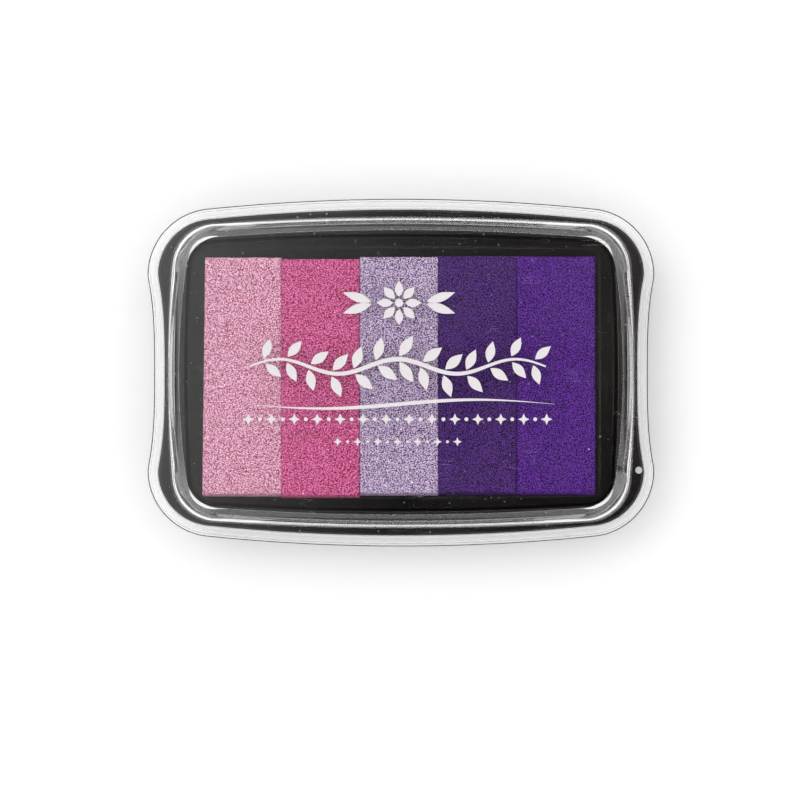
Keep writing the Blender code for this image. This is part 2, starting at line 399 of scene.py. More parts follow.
def add_piece(name, shape, materials, smooth_angle=math.radians(38)):
    """Makes an object of a bmesh, with smooth shading up to the given angle, and frees the bmesh."""
    mesh = bpy.data.meshes.new(name)
    shape.to_mesh(mesh)
    shape.free()
    mesh.shade_smooth()
    mesh.set_sharp_from_angle(angle=smooth_angle)
    for material in materials:
        mesh.materials.append(material)
    obj = bpy.data.objects.new(name, mesh)
    bpy.context.scene.collection.objects.link(obj)
    return obj


# --- Materials ---


class Graph:
    """Short calls for building a node tree."""

    def __init__(self, tree):
        self.tree = tree

    def add(self, kind, settings=None, **inputs):
        """A node with its settings, and each input set to a value or linked to a socket.

        Underscores in an input's name stand for spaces.
        """
        node = self.tree.nodes.new("ShaderNode" + kind)
        for key, value in (settings or {}).items():
            setattr(node, key, value)
        for key, value in inputs.items():
            self.feed(node.inputs[key.replace("_", " ")], value)
        return node

    def feed(self, socket, value):
        if isinstance(value, bpy.types.NodeSocket):
            self.tree.links.new(value, socket)
        else:
            socket.default_value = value

    def math(self, operation, first, second=0.0, clamp=False):
        node = self.add("Math", {"operation": operation, "use_clamp": clamp})
        self.feed(node.inputs[0], first)
        self.feed(node.inputs[1], second)
        return node.outputs[0]

    def place(self):
        """The object's own coordinates."""
        return self.add("TexCoord").outputs["Object"]

    def noise(self, place, scale, fourth=None, **inputs):
        """A noise over a place. The fourth coordinate, if given, chooses another pattern."""
        settings = None
        if fourth is not None:
            settings = {"noise_dimensions": "4D"}
            inputs["W"] = fourth
        return self.add("TexNoise", settings, Vector=place, Scale=scale, **inputs).outputs[0]

    def times(self, first, second):
        return self.math("MULTIPLY", first, second)

    def plus(self, first, second, clamp=False):
        return self.math("ADD", first, second, clamp)

    def mix(self, factor, first, second):
        """A colour between two colours."""
        node = self.add("Mix", {"data_type": "RGBA"})
        self.feed(node.inputs[0], factor)
        for socket, shade in ((node.inputs[6], first), (node.inputs[7], second)):
            self.feed(socket, shade if isinstance(shade, bpy.types.NodeSocket) else (*shade, 1.0))
        return node.outputs[2]

    def ramp(self, value, low, high, to_low=0.0, to_high=1.0):
        """Maps low..high of a value to to_low..to_high, smoothly and within those limits."""
        limits = {"From_Min": low, "From_Max": high, "To_Min": to_low, "To_Max": to_high}
        node = self.add("MapRange", {"interpolation_type": "SMOOTHSTEP"}, Value=value, **limits)
        return node.outputs["Result"]


def new_group(name, inputs, outputs):
    """A shader node group with named value inputs and outputs, and the graph inside it."""
    tree = bpy.data.node_groups.new(name, "ShaderNodeTree")
    for label, default in inputs.items():
        socket = tree.interface.new_socket(name=label, in_out="INPUT", socket_type="NodeSocketFloat")
        socket.default_value = default
    for label in outputs:
        tree.interface.new_socket(name=label, in_out="OUTPUT", socket_type="NodeSocketFloat")
    given = tree.nodes.new("NodeGroupInput")
    result = tree.nodes.new("NodeGroupOutput")
    return Graph(tree), given.outputs, result.inputs


def place_group(graph, name, **inputs):
    return graph.add("Group", {"node_tree": bpy.data.node_groups[name]}, **inputs).outputs


def scratches_group():
    """Short hair scratches that lie every way, as on handled plastic."""
    inside, given, result = new_group("Fine scratches", {"Scale": 60.0, "Amount": 1.0}, ("Height", "Mask"))
    place = inside.place()
    total = None
    for number, turn in enumerate((0.5, 1.2, 2.0, 2.8)):
        turned = inside.add("Mapping", Vector=place, Rotation=(0.0, 0.0, turn), Scale=(1.0, 9.0, 1.0))
        lines = inside.noise(
            turned.outputs[0], given["Scale"], 3.0 * number, Detail=0.0, Distortion=1.3
        )
        thin = inside.math("ABSOLUTE", inside.math("SUBTRACT", lines, 0.5))
        line = inside.ramp(thin, 0.0, 0.008, 1.0, 0.0)
        patch = inside.noise(place, inside.times(given["Scale"], 2.2), 11.0 + number)
        found = inside.times(line, inside.ramp(patch, 0.62, 0.72))
        total = found if total is None else inside.math("MAXIMUM", total, found)
    total = inside.times(total, given["Amount"])
    inside.feed(result["Mask"], total)
    inside.feed(result["Height"], inside.times(total, -1.0))


def specks_group():
    """Scattered specks, as dust leaves them."""
    inside, given, result = new_group("Dust specks", {"Scale": 900.0, "Share": 0.06}, ("Mask",))
    cells = inside.add("TexVoronoi", Vector=inside.place(), Scale=given["Scale"], Randomness=1.0)
    shade = inside.add("SeparateColor", Color=cells.outputs["Color"])
    chosen = inside.math("LESS_THAN", shade.outputs[0], given["Share"])
    size = inside.times(shade.outputs[1], 0.32)
    dot = inside.ramp(inside.math("SUBTRACT", cells.outputs["Distance"], size), 0.0, 0.08, 1.0, 0.0)
    inside.feed(result["Mask"], inside.times(dot, chosen))


def grain_group():
    """The fine grain of moulded plastic, and its slow unevenness."""
    inside, given, result = new_group("Moulded grain", {"Scale": 2600.0}, ("Height", "Unevenness"))
    place = inside.place()
    inside.feed(result["Height"], inside.noise(place, given["Scale"], Detail=3.0))
    slow = inside.times(given["Scale"], 0.03)
    inside.feed(result["Unevenness"], inside.noise(place, slow, Detail=4.0))


def foam_group():
    """Open foam cells: a worm-like grain of painted shade in the pits and painted glints, and ink that
    soaked in unevenly.
    """
    inside, given, result = new_group(
        "Foam cells", {"Scale": 2400.0, "Contrast": 1.0}, ("Height", "Pits", "Glints", "Soak")
    )
    place = inside.place()
    grain = inside.noise(place, given["Scale"], Detail=2.0, Roughness=0.6, Distortion=0.8)
    centred = inside.times(inside.math("SUBTRACT", grain, 0.5), given["Contrast"])
    inside.feed(result["Height"], grain)
    # Pits: painted shade that darkens the pores. Glints: painted highlights on the cell edges.
    inside.feed(result["Pits"], inside.ramp(centred, -0.12, 0.03, 1.0, 0.0))
    inside.feed(result["Glints"], inside.ramp(centred, 0.04, 0.16))
    slow = inside.times(given["Scale"], 0.03)
    inside.feed(result["Soak"], inside.noise(place, slow, Detail=5.0, Roughness=0.6))


def build_groups():
    for build in (scratches_group, specks_group, grain_group, foam_group):
        build()


def empty_graph(owner):
    """The graph of a material or world, with nothing in it."""
    owner.use_nodes = True
    owner.node_tree.nodes.clear()
    return Graph(owner.node_tree)


def new_material(name, refraction=1.45):
    """A material that isn't metal, with its graph, its shader and its output."""
    material = bpy.data.materials.new(name)
    graph = empty_graph(material)
    shader = graph.add("BsdfPrincipled", IOR=refraction, Metallic=0.0)
    output = graph.add("OutputMaterial", Surface=shader.outputs[0])
    return material, graph, shader, output


def dress(graph, shader, colour, roughness, height, strength, depth):
    """Feeds a shader its colour, its roughness and a relief of this strength and depth."""
    graph.feed(shader.inputs["Base Color"], colour)
    graph.feed(shader.inputs["Roughness"], roughness)
    bump = graph.add("Bump", Strength=strength, Distance=depth, Height=height)
    graph.feed(shader.inputs["Normal"], bump.outputs[0])


def scaled(shade, factor):
    """A colour made lighter or darker, within what a surface can reflect."""
    return tuple(min(1.0, factor * channel) for channel in shade)


def clear_plastic(settings, foot):
    """Clear polystyrene with light handling marks. Lamps shine through it.

    The lower edge, at the height foot, has a painted glow: it emits light that stands in for the light the
    walls lead down to it.
    """
    material, graph, shader, output = new_material("clear_plastic", 1.57)
    shader.inputs["Transmission Weight"].default_value = 1.0
    # Painted glow: the lower edge emits light, standing in for the light that the clear walls gather and
    # lead down.
    shader.inputs["Emission Strength"].default_value = 0.2
    height = graph.add("SeparateXYZ", Vector=graph.place()).outputs["Z"]
    # Mask of the lower edge that gets the painted glow.
    painted_glow_mask = graph.ramp(height, foot + 0.02 * MM, foot + 0.08 * MM, 1.0, 0.0)
    graph.feed(shader.inputs["Emission Color"], graph.mix(painted_glow_mask, (0.0, 0.0, 0.0), (1.0, 1.0, 1.0)))
    scratches = place_group(graph, "Fine scratches", Scale=60.0, Amount=0.6)
    specks = place_group(graph, "Dust specks", Scale=1300.0, Share=0.012)
    grain = place_group(graph, "Moulded grain", Scale=900.0)
    marks = graph.math("MAXIMUM", scratches["Mask"], specks["Mask"])
    tint = graph.mix(graph.times(marks, 0.2), tuple(settings.tint), (0.80, 0.80, 0.80))
    haze = graph.ramp(grain["Unevenness"], 0.35, 0.7, 0.0, 0.012)
    rough = graph.plus(haze, graph.times(marks, 0.3), clamp=True)
    relief = graph.plus(scratches["Height"], graph.times(specks["Mask"], 0.8))
    dress(graph, shader, tint, rough, relief, 0.25, 0.03 * MM)
    through = graph.add("BsdfTransparent", Color=(1.0, 1.0, 1.0, 1.0))
    path = graph.add("LightPath")
    both = graph.add("MixShader", Fac=path.outputs["Is Shadow Ray"])
    graph.feed(both.inputs[1], shader.outputs[0])
    graph.feed(both.inputs[2], through.outputs[0])
    graph.feed(output.inputs[0], both.outputs[0])
    return material


def black_plastic(settings):
    """Moulded black polystyrene with dust and a fine grain."""
    material, graph, shader, _ = new_material("black_plastic", 1.5)
    grain = place_group(graph, "Moulded grain", Scale=2600.0)
    scratches = place_group(graph, "Fine scratches", Scale=55.0, Amount=0.8)
    specks = place_group(graph, "Dust specks", Scale=1500.0, Share=0.05)
    plastic = tuple(settings.plastic)
    worn = graph.mix(graph.ramp(grain["Unevenness"], 0.4, 0.75), plastic, scaled(plastic, 1.8))
    dusty = graph.mix(graph.times(specks["Mask"], 0.35), worn, (0.45, 0.44, 0.43))
    rough = graph.plus(
        graph.ramp(grain["Unevenness"], 0.3, 0.7, 0.05, 0.11),
        graph.times(scratches["Mask"], 0.2),
        clamp=True,
    )
    height = graph.plus(grain["Height"], scratches["Height"])
    dress(graph, shader, dusty, rough, height, 0.1, 0.01 * MM)
    return material


def frosted_plastic():
    """The crushed, whitened plastic of the gate mark."""
    material, graph, shader, _ = new_material("frosted_plastic", 1.5)
    grain = place_group(graph, "Moulded grain", Scale=6000.0)
    pale = graph.mix(grain["Height"], (0.34, 0.34, 0.34), (0.52, 0.52, 0.51))
    rough = graph.ramp(grain["Height"], 0.2, 0.8, 0.35, 0.6)
    dress(graph, shader, pale, rough, grain["Height"], 0.5, 0.04 * MM)
    return material


def inked_foam(name, ink):
    """Foam soaked in one ink: painted shade makes its pits deeper in colour, and painted glints make its
    cell edges paler.
    """
    material, graph, shader, _ = new_material("foam_" + name, 1.4)
    shader.inputs["Specular IOR Level"].default_value = 0.3
    cells = place_group(graph, "Foam cells", Scale=4300.0, Contrast=5.5)
    spread = min(1.0, 0.45 + max(ink))
    # deep: the painted shade of the pits. pale: the painted highlight of the glints.
    deep = tuple(c ** (1.0 + 2.8 * spread) for c in ink)
    pale = tuple(c ** (1.0 - 0.66 * spread) for c in ink)
    soak = graph.ramp(cells["Soak"], 0.35, 0.68)
    soaked = graph.mix(soak, scaled(ink, 0.9), scaled(ink, 1.1))
    # Painted shade in the pits, then painted highlights on the glints.
    with_pit_shade = graph.mix(cells["Pits"], soaked, deep)
    with_painted_glints = graph.mix(cells["Glints"], with_pit_shade, pale)
    rough = graph.ramp(cells["Soak"], 0.3, 0.7, 0.5, 0.8)
    dress(graph, shader, with_painted_glints, rough, cells["Height"], 0.7, 0.15 * MM)
    return material


def grained(name, scale, dark, light, roughness, strength, depth):
    """A material whose colour, roughness and relief follow a grain of this scale."""
    material, graph, shader, _ = new_material(name)
    grain = place_group(graph, "Moulded grain", Scale=scale)
    shade = graph.mix(grain["Height"], dark, light)
    rough = graph.ramp(grain["Unevenness"], 0.3, 0.7, *roughness)
    dress(graph, shader, shade, rough, grain["Height"], strength, depth)
    return material


def adhesive_tape():
    """Cream double-sided tape with a fibrous carrier."""
    dark, light = (0.62, 0.58, 0.47), (0.80, 0.77, 0.68)
    return grained("adhesive_tape", 1800.0, dark, light, (0.35, 0.6), 0.3, 0.03 * MM)


def label_paper():
    """Uncoated white label paper."""
    material, graph, shader, _ = new_material("label_paper")
    fibres = graph.noise(graph.place(), 2200.0, Detail=6.0, Distortion=1.2)
    paper = graph.mix(fibres, (0.74, 0.73, 0.70), (0.90, 0.89, 0.86))
    rough = graph.ramp(fibres, 0.3, 0.7, 0.7, 0.9)
    dress(graph, shader, paper, rough, fibres, 0.3, 0.02 * MM)
    return material


def printing_ink(name, ink):
    """A screen-printed film that varies a little in its cover."""
    thin, full = scaled(ink, 0.88), scaled(ink, 1.08)
    return grained(name, 3200.0, thin, full, (0.38, 0.55), 0.15, 0.01 * MM)


def table_top(settings):
    """A plain matt table top."""
    material, graph, shader, _ = new_material("table_top")
    grain = place_group(graph, "Moulded grain", Scale=300.0)
    pale = tuple(settings.table)
    surface = graph.mix(grain["Unevenness"], scaled(pale, 0.99), scaled(pale, 1.01))
    graph.feed(shader.inputs["Base Color"], surface)
    graph.feed(shader.inputs["Roughness"], graph.ramp(grain["Height"], 0.3, 0.7, 0.85, 0.95))
    return material


# --- The lid ---


def lid_shape(settings):
    """The whole clear moulding: lipped skirt, shoulder, raised top and its four corner ribs."""
    low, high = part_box("lid")
    face_z = high.z - settings.rib_height
    shoulder_z = face_z - settings.face_height
    lip_top = low.z + settings.lip_height
    underside = shoulder_z - settings.wall - 0.2 * MM
    skirt = body_outline().inset(settings.lip_step)
    skirt_top = skirt.inset(settings.draft)
    face = plateau_face()
    foot = plateau_foot()
    rib_line = face.inset(settings.rib_inset)
    rib_back = rib_line.inset(-settings.rib_width)
    lean = (foot.half_x - face.half_x) / settings.face_height
    rib_foot = face_z - (rib_back.half_x - face.half_x) / lean
    edge_radius = 0.12 * MM
    shape, rings = loft(
        (
            (rib_line.inset(0.5 * MM), face_z, 0.0),
            (rib_line, face_z, 0.0),
            (face.inset(2 * edge_radius), face_z, 0.0),
            (face, face_z, 0.0),
            (face.inset(-2 * edge_radius * lean), face_z - 2 * edge_radius, 0.0),
            (rib_back, rib_foot, 0.0),
            (foot, shoulder_z, 0.15 * MM),
            (skirt_top, shoulder_z, 0.25 * MM),
            (skirt, lip_top, 0.1 * MM),
            (body_outline(), lip_top, 0.06 * MM),
            (body_outline(), low.z, 0.22 * MM, 1),
            (skirt.inset(settings.wall), low.z, 0.1 * MM),
            (skirt_top.inset(settings.wall), underside, 0.2 * MM),
            (foot.inset(settings.wall), underside, 0.15 * MM),
            (face.inset(settings.wall), face_z - settings.ceiling, 0.05 * MM),
            (face.inset(settings.wall + 2.0 * MM), face_z - settings.ceiling, 0.0),
        )
    )
    inner_edges, outer_edges = raise_ribs(shape, rings[RIB_RINGS], rib_line, high.z)
    left = [edge for edge in rings[EDGE_RING] if edge.is_valid]
    open_edge = [e for e in left if not in_rib((e.verts[0].co + e.verts[1].co) / 2)]
    round_edges(shape, inner_edges, 0.3 * MM)
    round_edges(shape, outer_edges, 0.08 * MM, 2)
    round_edges(shape, open_edge, edge_radius, 2)
    check_closed(shape, "clear_lid")
    return shape


def in_rib(point):
    """True beside the four corner ribs."""
    return abs(point.x) >= RIB_FROM_X and abs(point.y) >= RIB_FROM_Y


def raise_ribs(shape, rings, rib_line, top):
    """Raises the bands between the rings into a rib at each corner.

    Returns the ribs' inner upper edges, which lie over rib_line, and their other upper edges.
    """
    borders = {edge for ring in rings for edge in ring}
    band = [
        face
        for face in {face for ring in rings[1:-1] for edge in ring for face in edge.link_faces}
        if len(borders.intersection(face.edges)) == 2 and in_rib(face.calc_center_median())
    ]
    band_edges = {edge for face in band for edge in face.edges}
    grown = bmesh.ops.extrude_face_region(shape, geom=[*band, *band_edges])["geom"]
    for vert in verts_of(grown):
        vert.co.z = top
    upper = set(faces_of(grown))
    upper_edges = {edge for face in upper for edge in face.edges}
    border = [edge for edge in upper_edges if not upper.issuperset(edge.link_faces)]
    over_line = {(round(p.x, 7), round(p.y, 7)) for p in rib_line.points()}
    inner = [e for e in border if all((round(v.co.x, 7), round(v.co.y, 7)) in over_line for v in e.verts)]
    return inner, [edge for edge in border if edge not in inner]


def gate_mark_shape(settings, centre):
    """A low button with a crushed, dished top."""
    shape = bmesh.new()
    place = Matrix.Translation(centre)
    bmesh.ops.create_circle(
        shape, cap_ends=True, segments=28, radius=settings.gate_radius, matrix=place
    )
    grown = bmesh.ops.extrude_face_region(shape, geom=list(shape.faces))["geom"]
    upper = faces_of(grown)
    bmesh.ops.translate(shape, verts=verts_of(grown), vec=(0.0, 0.0, GATE_HEIGHT))
    rim = [edge for face in upper for edge in face.edges]
    bmesh.ops.inset_region(shape, faces=upper, thickness=GATE_RIM)
    bmesh.ops.translate(shape, verts=upper[0].verts[:], vec=(0.0, 0.0, -GATE_DISH))
    round_edges(shape, rim, GATE_ROUNDING, 2)
    bmesh.ops.recalc_face_normals(shape, faces=shape.faces)
    check_closed(shape, "gate_mark")
    return shape


class INKPAD_OT_make_lid(bpy.types.Operator):
    """Makes the clear lid and its gate mark"""

    bl_idname = "inkpad.make_lid"
    bl_label = "Clear Lid"

    def execute(self, context):
        settings = context.scene.ink_pad.lid
        low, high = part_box("lid")
        shoulder = high.z - settings.rib_height - settings.face_height
        lid = add_piece("clear_lid", lid_shape(settings), [clear_plastic(settings, low.z)])
        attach(lid, "lid")
        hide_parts("lid")
        centre = Vector((*GATE_PLACE, shoulder + 0.01 * MM))
        mark = add_piece("gate_mark", gate_mark_shape(settings, centre), [frosted_plastic()])
        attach(mark, "lid")
        return {"FINISHED"}


# --- The tray and its platform ---


def rim_outline(settings, lid_wall):
    """The outer face of the tray's rim at its top."""
    return plateau_foot().inset(lid_wall + settings.fit_gap + settings.rim_draft)


def tray_shape(settings, lid_wall):
    """The black tray: outer wall, ledge, rim, floor, foot ring and the groove under the ledge."""
    low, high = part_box("base_tray")
    rim = rim_outline(settings, lid_wall)
    cavity = rim.inset(settings.rim_wall)
    wall = body_outline().inset(settings.inset)
    foot = plateau_face().inset(settings.foot_inset)
    ledge = high.z - settings.rim_height
    belly = low.z + settings.foot_height
    floor = belly + settings.floor
    groove_top = ledge - settings.wall
    shape, _ = loft(
        (
            (cavity.inset(0.6 * MM), floor, 0.0),
            (cavity, floor, 0.2 * MM),
            (cavity, high.z, 0.25 * MM),
            (rim, high.z, 0.3 * MM),
            (rim.inset(-settings.rim_draft), ledge, 0.25 * MM),
            (wall, ledge, 0.4 * MM),
            (wall, belly, 0.3 * MM),
            (wall.inset(settings.wall), belly, 0.3 * MM),
            (wall.inset(settings.wall), groove_top, 0.2 * MM),
            (rim, groove_top, 0.2 * MM),
            (rim, belly, 0.3 * MM),
            (foot, belly, 0.0),
            (foot, low.z, 0.25 * MM),
            (foot.inset(settings.foot_width), low.z, 0.25 * MM),
            (foot.inset(settings.foot_width), belly, 0.0),
            (foot.inset(settings.foot_width + 0.6 * MM), belly, 0.0),
        )
    )
    check_closed(shape, "black_tray")
    return shape


def platform_shape(settings, lid_wall):
    """The platform inside the rim: a deck, and the low table that the foam stands on."""
    low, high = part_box("pad_platform")
    deck = high.z - settings.table_step
    edge = rim_outline(settings, lid_wall).inset(settings.rim_wall + settings.fit_gap)
    table = Outline(41.0 * MM, 25.8 * MM, 5.0, 5.0, 1.2 * MM)
    inside = edge.inset(settings.wall)
    shape, _ = loft(
        (
            (table.inset(0.6 * MM), high.z, 0.0),
            (table, high.z, 0.15 * MM),
            (table, deck, 0.15 * MM),
            (edge, deck, 0.3 * MM),
            (edge, low.z, 0.2 * MM),
            (inside, low.z, 0.2 * MM),
            (inside, deck - settings.wall, 0.2 * MM),
            (inside.inset(0.6 * MM), deck - settings.wall, 0.0),
        )
    )
    check_closed(shape, "platform")
    return shape


class INKPAD_OT_make_tray(bpy.types.Operator):
    """Makes the black tray and the platform inside it"""

    bl_idname = "inkpad.make_tray"
    bl_label = "Black Tray"

    def execute(self, context):
        settings = context.scene.ink_pad.tray
        lid_wall = context.scene.ink_pad.lid.wall
        plastic = black_plastic(settings)
        tray = add_piece("black_tray", tray_shape(settings, lid_wall), [plastic])
        platform = add_piece("platform", platform_shape(settings, lid_wall), [plastic])
        for piece, node in ((tray, "base_tray"), (platform, "pad_platform")):
            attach(piece, "tray")
            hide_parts(node)
        return {"FINISHED"}


# --- Foam strips ---


def cut_block(low, high, step):
    """A block divided into roughly square cells, with an undivided underside."""
    shape = bmesh.new()
    size = high - low
    middle = Matrix.Translation((low + high) / 2) @ Matrix.Diagonal((*size, 1.0))
    bmesh.ops.create_cube(shape, size=1.0, matrix=middle)
    for axis in range(3):
        along = [e for e in shape.edges if abs((e.verts[0].co - e.verts[1].co)[axis]) > step]
        cuts = max(1, round(size[axis] / step) - 1)
        bmesh.ops.subdivide_edges(shape, edges=along, cuts=cuts, use_grid_fill=True)
    under = [f for f in shape.faces if f.normal.z < -0.5]
    bmesh.ops.dissolve_faces(shape, faces=under, use_verts=False)
    return shape


def soften_foam(shape, low, high, settings, taper):
    """Rounds the upper edges, leans the cut front back and opens the pores.

    The left side is drawn in by the taper at its back end.
    """
    shape.normal_update()
    drift = Vector((settings.seed * 0.31, settings.seed * 0.17, 0.0))
    moves = []
    for vert in shape.verts:
        place = vert.co
        depth = (high.z - place.z) / (high.z - low.z)
        move = Vector((0.0, 0.0, 0.0))
        if depth < 1e-4:
            to_edge = min(place.x - low.x, high.x - place.x, place.y - low.y, high.y - place.y)
            inside = max(0.0, 1.0 - to_edge / settings.edge)
            move.z -= settings.edge * (1.0 - math.sqrt(1.0 - min(1.0, inside) ** 2)) * 0.75
        front = max(0.0, 1.0 - (place.y - low.y) / FOAM_LEAN_REACH)
        move.y += settings.front_slope * (1.0 - depth) * front
        back = (place.y - low.y) / (high.y - low.y)
        left = max(0.0, 1.0 - (place.x - low.x) / FOAM_LEAN_REACH)
        move.x += taper * back * left
        if place.z > low.z + 0.2 * MM:
            out = sum(size * noise.noise(place * rate + drift * turn) for rate, size, turn in FOAM_WAVES)
            nearest = noise.voronoi(place / settings.pore + drift * 7.0)[0][0]
            out -= settings.depth * max(0.0, 1.0 - nearest / PORE_SHARE)
            move += vert.normal * out
        moves.append((vert, move))
    for vert, move in moves:
        vert.co += move
    bmesh.ops.recalc_face_normals(shape, faces=shape.faces)


class INKPAD_OT_make_foam(bpy.types.Operator):
    """Makes the five foam strips and finishes the tape under each"""

    bl_idname = "inkpad.make_foam"
    bl_label = "Foam Strips"

    def execute(self, context):
        settings = context.scene.ink_pad.foam
        tape = adhesive_tape()
        for name in STRIP_NAMES:
            node = "ink_strip_" + name
            low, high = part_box(node)
            low = low - Vector((FOAM_OVERLAP, 0.0, 0.0))
            high = high + Vector((FOAM_OVERLAP, 0.0, 0.0))
            shape = cut_block(low, high, settings.cell)
            taper = FIRST_STRIP_TAPER if name == STRIP_NAMES[0] else 0.0
            soften_foam(shape, low, high, settings, taper)
            check_closed(shape, node)
            inked = inked_foam(name, tuple(getattr(settings, name)))
            foam = add_piece("foam_" + name, shape, [inked], math.radians(80))
            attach(foam, "tray")
            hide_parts(node)
            finish_node("tape_" + name, tape)
        return {"FINISHED"}


# --- The label under the tray ---


def add_slab(shape, points, base, thickness, material_index=0):
    """Adds a thin flat solid over an outline, standing on the height base."""
    verts = [shape.verts.new((p[0], p[1], base)) for p in points]
    face = shape.faces.new(verts)
    face.material_index = material_index
    grown = bmesh.ops.extrude_face_region(shape, geom=[face])["geom"]
    bmesh.ops.translate(shape, verts=verts_of(grown), vec=(0.0, 0.0, thickness))


def rectangle(centre_x, centre_y, width, height):
    return [
        (centre_x + sx * width / 2, centre_y + sy * height / 2)
        for sx, sy in ((-1, -1), (1, -1), (1, 1), (-1, 1))
    ]


class INKPAD_OT_make_label(bpy.types.Operator):
    """Finishes the paper label and prints a colour patch on it for each ink"""

    bl_idname = "inkpad.make_label"
    bl_label = "Underside Label"

    def execute(self, context):
        foam = context.scene.ink_pad.foam
        finish_node("underside_label", label_paper())
        low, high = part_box("underside_label")
        film = LABEL_FILM
        base = low.z - film - PRINT_GAP
        shape = bmesh.new()
        pitch = (high.x - low.x) / (len(STRIP_NAMES) + 1)
        for number in range(len(STRIP_NAMES)):
            x = low.x + pitch * (number + 1)
            add_slab(shape, rectangle(x, 0.0, 0.72 * pitch, 0.72 * pitch), base, film, number + 1)
        border = 2.0 * MM
        line = 0.4 * MM
        width = high.x - low.x - 2 * border
        height = high.y - low.y - 2 * border
        for sign in (-1, 1):
            add_slab(shape, rectangle(0.0, sign * height / 2, width, line), base, film)
            upright = rectangle(sign * (width - line) / 2, 0.0, line, height - line - SMALL_GAP)
            add_slab(shape, upright, base, film)
        bmesh.ops.recalc_face_normals(shape, faces=shape.faces)
        inks = [printing_ink("label_ink_grey", (0.12, 0.12, 0.13))]
        inks += [printing_ink("label_ink_" + n, tuple(getattr(foam, n))) for n in STRIP_NAMES]
        artwork = add_piece("label_print", shape, inks)
        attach(artwork, "tray")
        return {"FINISHED"}


# --- Print on the lid ---


def leaf_outline(size, slimness):
    """A pointed leaf from the origin along +X, as two arcs."""
    steps = 9
    upper = [
        (size * t, size * slimness * math.sin(math.pi * t) * (1.15 - 0.3 * t))
        for t in (i / steps for i in range(steps + 1))
    ]
    lower = [(x, -y) for x, y in reversed(upper[1:-1])]
    return upper + lower


def disc_outline(radius, steps=16):
    return [
        (radius * math.cos(2 * math.pi * i / steps), radius * math.sin(2 * math.pi * i / steps))
        for i in range(steps)
    ]


def star_outline(radius, points, waist):
    """A star with straight sides, whose inner corners are at the waist, a share of the radius."""
    outline = []
    for i in range(2 * points):
        reach = radius * (1.0 if i % 2 == 0 else waist)
        turn = math.pi * i / points + math.pi / 2
        outline.append((reach * math.cos(turn), reach * math.sin(turn)))
    return outline


def moved(points, centre, turn=0.0):
    cosine, sine = math.cos(turn), math.sin(turn)
    return [(centre[0] + x * cosine - y * sine, centre[1] + x * sine + y * cosine) for x, y in points]


def band_outline(path, widths):
    """A line with its own width at each point of its path."""
    left, right = [], []
    for number, (x, y) in enumerate(path):
        before = path[max(0, number - 1)]
        after = path[min(len(path) - 1, number + 1)]
        run = Vector((after[0] - before[0], after[1] - before[1])).normalized()
        half = widths[number] / 2
        left.append((x - run.y * half, y + run.x * half))
        right.append((x + run.y * half, y - run.x * half))
    return left + list(reversed(right))


class INKPAD_OT_print_lid(bpy.types.Operator):
    """Prints the plain ornaments on the lid's flat top"""

    bl_idname = "inkpad.print_lid"
    bl_label = "Lid Print"

    def execute(self, context):
        settings = context.scene.ink_pad.artwork
        _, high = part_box("lid")
        base = high.z - context.scene.ink_pad.lid.rib_height + PRINT_GAP
        ink = printing_ink("print_ink", tuple(settings.ink))
        designs = {
            "print_rosette": rosette_outlines(),
            "print_garland": garland_outlines(),
            "print_flourish": flourish_outlines(),
            "print_beads_upper": bead_outlines(-9.6 * MM, 61.0 * MM, 27, 0.95 * MM),
            "print_beads_lower": bead_outlines(-14.2 * MM, 24.5 * MM, 13, 0.72 * MM),
        }
        for name, outlines in designs.items():
            shape = bmesh.new()
            for points in outlines:
                add_slab(shape, points, base, settings.thickness)
            bmesh.ops.recalc_face_normals(shape, faces=shape.faces)
            check_closed(shape, name)
            artwork = add_piece(name, shape, [ink])
            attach(artwork, "lid")
        return {"FINISHED"}


def rosette_outlines():
    """A small flower of eight petals between two pairs of leaves."""
    centre = (-0.4 * MM, 14.2 * MM)
    outlines = [moved(disc_outline(0.85 * MM), centre)]
    for petal in range(8):
        turn = petal * math.pi / 4
        start = (centre[0] + 1.25 * MM * math.cos(turn), centre[1] + 1.25 * MM * math.sin(turn))
        outlines.append(moved(leaf_outline(3.3 * MM, 0.26), start, turn))
    for side in (-1, 1):
        for lean in (-0.32, 0.32):
            turn = (0.0 if side > 0 else math.pi) + lean * side
            start = (centre[0] + side * 5.6 * MM, centre[1] + 0.6 * MM * lean)
            outlines.append(moved(leaf_outline(6.2 * MM, 0.15), start, turn))
    return outlines


def wavy_path(left, right, middle, swing, waves, steps):
    """Points of a sine line. The waves are its turn from end to end, in radians."""
    shares = [i / steps for i in range(steps + 1)]
    return [(left + (right - left) * t, middle + swing * math.sin(waves * t)) for t in shares]


def garland_outlines():
    """A wavy stem with paired leaves, the widest ornament on the lid."""
    left, right = -31.0 * MM, 29.6 * MM
    middle, swing = 1.2 * MM, 1.5 * MM
    waves = 2 * math.pi * 2.5
    steps = 60
    path = wavy_path(left, right, middle, swing, waves, steps)
    widths = [(0.35 + 0.55 * math.sin(math.pi * i / steps)) * MM for i in range(steps + 1)]
    outlines = [band_outline(path, widths)]
    count = 13
    for number in range(count):
        t = (number + 0.6) / (count + 0.2)
        x = left + (right - left) * t
        y = middle + swing * math.sin(waves * t)
        slope = swing * waves * math.cos(waves * t) / (right - left)
        size = (5.0 - 0.9 * abs(2 * t - 1)) * MM
        for side in (-1, 1):
            turn = math.atan(slope) + side * 0.98
            start = (x + 0.75 * MM * math.cos(turn), y + 0.75 * MM * math.sin(turn))
            outlines.append(moved(leaf_outline(size, 0.22), start, turn))
    return outlines


